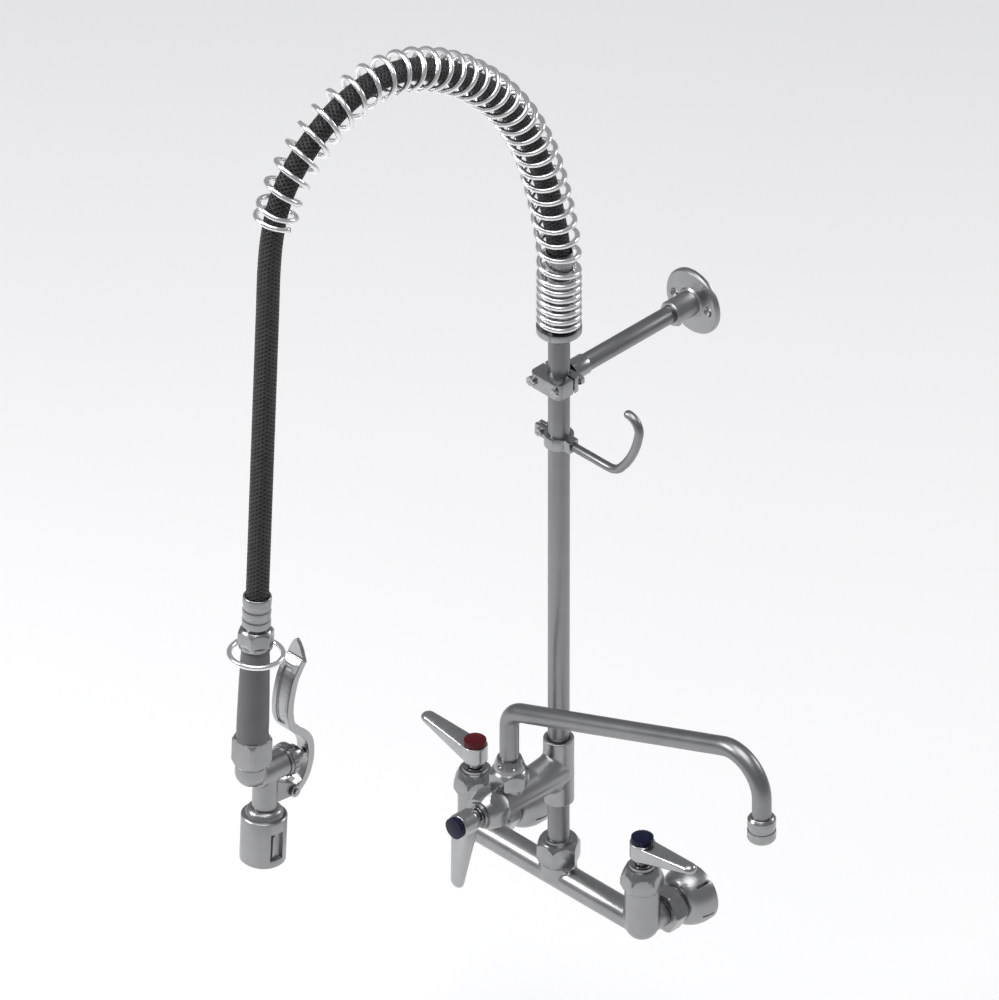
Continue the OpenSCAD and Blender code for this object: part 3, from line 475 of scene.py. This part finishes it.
upright_satin = tube_finish("satin_upright", (1, 1, 60))
inward_satin = tube_finish("satin_inward", (1, 60, 1))
sideways_satin = tube_finish("satin_sideways", (60, 1, 1))
for node, satin in (("riser", upright_satin), ("riser_nipple", upright_satin),
                    ("nozzle_sleeve", upright_satin), ("bracket_tube", inward_satin),
                    ("hook_rod", sideways_satin)):
    stand_for(machined(node, 0.0003), node, satin)

# The nozzle is one tube bent twice on a former: up, over, out at a rise and down to its outlet.
nozzle_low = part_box("nozzle_tube")[0]
outlet_low, outlet_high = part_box("nozzle_outlet")
nozzle_radius = 0.0085
nozzle_bore = 0.0072
rise = math.radians(20)
near_bend = 0.022
far_bend = 0.035
reach = (outlet_low.x + outlet_high.x) / 2
nozzle_foot = 0.234
swivel_y = (outlet_low.y + outlet_high.y) / 2
bend_lines_z = 0.2023
near_tangent = near_bend * math.tan((math.pi / 2 - rise) / 2)
far_tangent = far_bend * math.tan((math.pi / 2 + rise) / 2)
far_lines_z = bend_lines_z + reach * math.tan(rise)


def tube_wall(radius, flip):
    """One wall of the nozzle: a circle drawn up, spun round the near bend, drawn out, spun over
    the far bend and drawn down."""
    bpy.ops.object.select_all(action="DESELECT")
    bpy.ops.mesh.primitive_circle_add(vertices=48, radius=radius, location=(0, swivel_y, nozzle_low.z))
    wall = bpy.context.object
    bpy.ops.object.mode_set(mode="EDIT")
    bpy.ops.mesh.select_all(action="SELECT")
    first_rise = bend_lines_z - near_tangent - nozzle_low.z
    bpy.ops.mesh.extrude_region_move(TRANSFORM_OT_translate={"value": (0, 0, first_rise)})
    bpy.ops.mesh.spin(steps=16, angle=math.pi / 2 - rise, axis=(0, -1, 0),
                      center=(near_bend, swivel_y, bend_lines_z - near_tangent))
    run = reach / math.cos(rise) - near_tangent - far_tangent
    bpy.ops.mesh.extrude_region_move(
        TRANSFORM_OT_translate={"value": (run * math.cos(rise), 0, run * math.sin(rise))})
    bpy.ops.mesh.spin(steps=24, angle=math.pi / 2 + rise, axis=(0, -1, 0),
                      center=(reach - far_bend, swivel_y, far_lines_z - far_tangent))
    bpy.ops.mesh.extrude_region_move(
        TRANSFORM_OT_translate={"value": (0, 0, nozzle_foot - far_lines_z + far_tangent)})
    bpy.ops.mesh.select_all(action="SELECT")
    bpy.ops.mesh.remove_doubles(threshold=0.000001)
    bpy.ops.mesh.normals_make_consistent(inside=flip)
    bpy.ops.object.mode_set(mode="OBJECT")
    return wall


outside, inside = tube_wall(nozzle_radius, False), tube_wall(nozzle_bore, True)
bpy.ops.object.select_all(action="DESELECT")
inside.select_set(True)
outside.select_set(True)
bpy.context.view_layer.objects.active = outside
bpy.ops.object.join()
nozzle = bpy.context.object
nozzle.name = "nozzle_tube_made"
bpy.ops.object.mode_set(mode="EDIT")
bpy.ops.mesh.select_mode(type="EDGE")
bpy.ops.mesh.select_all(action="DESELECT")
bpy.ops.mesh.select_non_manifold()
bpy.ops.mesh.bridge_edge_loops(type="PAIRS")
bpy.ops.object.mode_set(mode="OBJECT")
nozzle.data.transform(nozzle.matrix_world)
nozzle.matrix_world = Matrix.Identity(4)
bpy.ops.object.shade_smooth_by_angle(angle=math.radians(30))
stand_for(nozzle, "nozzle_tube", sideways_satin)


# ---- Index caps ---------------------------------------------------------------------------
# Moulded caps with a serrated edge, snapped into the handles' hubs: red for hot, blue for cold.


def cap_finish(name, low, high):
    cap = Finish(name, metallic=0.0, specular=0.25)
    swirl = cap.clouds(0.004, detail=4)
    cap.feed("Base Color", cap.mixed(swirl, low, high))
    cap.feed("Roughness", swirl * 0.2 + 0.24)
    cap.bumps(cap.clouds(0.0008), 0.00004, 0.5)
    return cap


red_cap = cap_finish("red_cap", (0.045, 0.0006, 0.003), (0.085, 0.002, 0.006))
blue_cap = cap_finish("blue_cap", (0.001, 0.002, 0.015), (0.002, 0.004, 0.03))
for node, cap in (("hot_index", red_cap), ("cold_index", blue_cap), ("addon_index", blue_cap)):
    stand_for(machined(node, 0.00025), node, cap)


# ---- Spray valve's grip -------------------------------------------------------------------
# A moulded sleeve with a fine eggshell grain, tapered so that the hand doesn't slide down it.
grip_plastic = Finish("grip_plastic", metallic=0.0, roughness=0.55)
pebble = grip_plastic.clouds(0.0011, detail=2)
rubbed = grip_plastic.clouds(0.03, detail=4)
grip_plastic.feed("Base Color", grip_plastic.mixed(rubbed, (0.1, 0.1, 0.103), (0.15, 0.15, 0.153)))
grip_plastic.feed("Roughness", 0.62 - rubbed * 0.2)
grip_plastic.bumps(pebble, 0.00012, 0.7)
lean = math.radians(2.67)
gun_place = (Matrix.Translation((0, -0.430 + 0.011 * math.sin(lean), 0.475))
             @ Matrix.Rotation(-lean, 4, "X"))


def turned_round(name, profile, sides=64):
    """A round piece drawn from a circle, ring by ring, round a closed profile of radii and heights
    on the spray valve's own axis."""
    bpy.ops.object.select_all(action="DESELECT")
    first_radius, foot = profile[0]
    bpy.ops.mesh.primitive_circle_add(vertices=sides, radius=first_radius, location=(0, 0, foot))
    made = bpy.context.object
    made.name = name
    bpy.ops.object.mode_set(mode="EDIT")
    bpy.ops.mesh.select_all(action="SELECT")
    for (from_radius, low), (to_radius, high) in zip(profile, profile[1:] + profile[:1]):
        bpy.ops.mesh.extrude_region_move(TRANSFORM_OT_translate={"value": (0, 0, high - low)})
        growth = to_radius / from_radius
        bpy.ops.transform.resize(value=(growth, growth, 1), center_override=(0, 0, high))
    bpy.ops.mesh.select_all(action="SELECT")
    bpy.ops.mesh.remove_doubles(threshold=0.000002)
    bpy.ops.mesh.normals_make_consistent(inside=False)
    bpy.ops.object.mode_set(mode="OBJECT")
    made.data.transform(gun_place @ made.matrix_world)
    made.matrix_world = Matrix.Identity(4)
    rounded = made.modifiers.new("rounded", "BEVEL")
    rounded.width = 0.0004
    rounded.segments = 2
    rounded.limit_method = "ANGLE"
    rounded.angle_limit = math.radians(25)
    bpy.ops.object.modifier_apply(modifier="rounded")
    bpy.ops.object.shade_smooth_by_angle(angle=math.radians(30))
    return made


grip = turned_round("grip_moulding", [
    (0.0055, -0.145), (0.0139, -0.145), (0.0143, -0.144), (0.0143, -0.140), (0.0139, -0.1385),
    (0.0140, -0.125), (0.0134, -0.095), (0.0126, -0.060), (0.0122, -0.056), (0.0126, -0.0545),
    (0.0123, -0.051), (0.0055, -0.051)])
stand_for(grip, "valve_grip", grip_plastic)


# ---- Hose ferrule -------------------------------------------------------------------------
# A drawn brass sleeve, chromed, pushed over the hose's end and crimped in two rings so that it
# bites on the braid and holds it to the swivel below.
ferrule = turned_round("ferrule_crimped", [
    (0.0055, -0.031), (0.0105, -0.031), (0.0105, -0.028), (0.0125, -0.028), (0.0125, -0.0215),
    (0.0119, -0.0203), (0.0119, -0.0177), (0.0125, -0.0165), (0.0125, -0.0115), (0.0119, -0.0103),
    (0.0119, -0.0077), (0.0125, -0.0065), (0.0125, 0.001), (0.0118, 0.002), (0.0105, 0.002),
    (0.0105, -0.018), (0.0055, -0.018)])
stand_for(ferrule, "hose_lower_ferrule", bar_chrome)


# ---- Hold-down ring -----------------------------------------------------------------------
# A ring of bright wire, butt-welded at one side, that drops over the squeezed lever's tip and
# holds it.
ring_span = 0.051
ring_wire = 0.005
weld_bead = 0.00035
bpy.ops.object.select_all(action="DESELECT")
bpy.ops.mesh.primitive_torus_add(major_segments=96, minor_segments=24, location=(0, 0.001, -0.058),
                                 major_radius=(ring_span - ring_wire) / 2, minor_radius=ring_wire / 2)
ring = bpy.context.object
ring.name = "ring_welded"
for vertex in ring.data.vertices:
    vertex.select = vertex.co.x < -0.01 and abs(vertex.co.y) < 0.0008
for edge in ring.data.edges:
    edge.select = all(ring.data.vertices[i].select for i in edge.vertices)
for face in ring.data.polygons:
    face.select = False
bpy.ops.object.mode_set(mode="EDIT")
bpy.ops.transform.shrink_fatten(value=weld_bead)
bpy.ops.object.mode_set(mode="OBJECT")
ring.data.transform(gun_place @ ring.matrix_world)
ring.matrix_world = Matrix.Identity(4)
bpy.ops.object.shade_smooth()
stand_for(ring, "hold_down_ring", bright)


# ---- Small parts --------------------------------------------------------------------------
# Stainless screws and the lever's pin, the brass stems and cartridges, the rubber seals, and
# the moulded spray plate.
screw_steel = Finish("screw_steel", metallic=1.0)
screw_grain = screw_steel.clouds(0.002, detail=4)
screw_steel.feed("Base Color", screw_steel.mixed(screw_grain, (0.3, 0.3, 0.305), (0.42, 0.42, 0.425)))
screw_steel.feed("Roughness", screw_grain * 0.2 + 0.2)
screw_steel.bumps(screw_grain, 0.00003, 0.6)
turned_brass = Finish("turned_brass", metallic=1.0)
brass_grain = turned_brass.clouds(0.01, scale=(1, 1, 30))
turned_brass.feed("Base Color", turned_brass.mixed(brass_grain, (0.44, 0.44, 0.44), (0.56, 0.56, 0.56)))
turned_brass.feed("Roughness", brass_grain * 0.2 + 0.16)
turned_brass.bumps(brass_grain, 0.00002, 0.6)
seal_rubber = Finish("seal_rubber", metallic=0.0)
rubber_grain = seal_rubber.clouds(0.001, detail=4)
seal_rubber.feed("Base Color",
                 seal_rubber.mixed(rubber_grain, (0.012, 0.012, 0.012), (0.03, 0.03, 0.03)))
seal_rubber.feed("Roughness", rubber_grain * 0.2 + 0.6)
seal_rubber.bumps(rubber_grain, 0.00005, 0.6)
dark_plate = Finish("dark_plate", metallic=0.0)
plate_grain = dark_plate.clouds(0.0015, detail=4)
dark_plate.feed("Base Color", dark_plate.mixed(plate_grain, (0.02, 0.02, 0.022), (0.045, 0.045, 0.048)))
dark_plate.feed("Roughness", plate_grain * 0.2 + 0.4)
dark_plate.bumps(plate_grain, 0.00004, 0.6)
for made_of, names in (
        (screw_steel, ("hot_handle_screw", "cold_handle_screw", "addon_handle_screw", "bracket_screws",
                       "bracket_set_screw", "hook_screw", "lever_pin", "valve_plunger",
                       "valve_return_spring")),
        (turned_brass, ("hot_cartridge", "cold_cartridge", "addon_cartridge", "hot_stem", "cold_stem",
                        "addon_stem")),
        (seal_rubber, ("joint_washers", "nozzle_o_rings")),
        (dark_plate, ("spray_face",))):
    for node in names:
        mesh = nodes[node].data
        mesh.materials.clear()
        mesh.materials.append(made_of.material)


# ---- Floor and light ----------------------------------------------------------------------
floor_drop = 0.30
bpy.ops.object.select_all(action="DESELECT")
bpy.ops.mesh.primitive_plane_add(size=120, location=(0, 0, cad_box[0][2] - floor_drop))
floor = bpy.context.object
floor.name = "floor"
paper = Finish("floor_paper", metallic=0.0, roughness=0.9)
paper.feed("Base Color", paper.mixed(paper.clouds(0.5), (0.93, 0.93, 0.93), (0.96, 0.96, 0.96)))
floor.data.materials.append(paper.material)


faucet_middle = Vector((0, -0.2, 0.45))


def softbox(name, place, size, power):
    """A square soft light that faces the faucet."""
    bpy.ops.object.select_all(action="DESELECT")
    bpy.ops.object.light_add(type="AREA", location=place)
    lamp = bpy.context.object
    lamp.name = name
    lamp.data.size = size
    lamp.data.energy = power
    lamp.rotation_mode = "QUATERNION"
    lamp.rotation_quaternion = (Vector(place) - faucet_middle).to_track_quat("Z", "Y")


softbox("key_light", (-1.5, -2.0, 1.9), 0.9, 42)
softbox("top_light", (0.2, -0.8, 3.4), 2.4, 72)
softbox("rim_light", (0.9, 2.2, 1.5), 0.8, 14)
world = bpy.data.worlds.new("studio")
bpy.context.scene.world = world
bpy.context.scene.view_settings.view_transform = "Standard"
world.use_nodes = True
world.node_tree.nodes["Background"].inputs["Color"].default_value = (0.8, 0.81, 0.83, 1)
world.node_tree.nodes["Background"].inputs["Strength"].default_value = 0.42
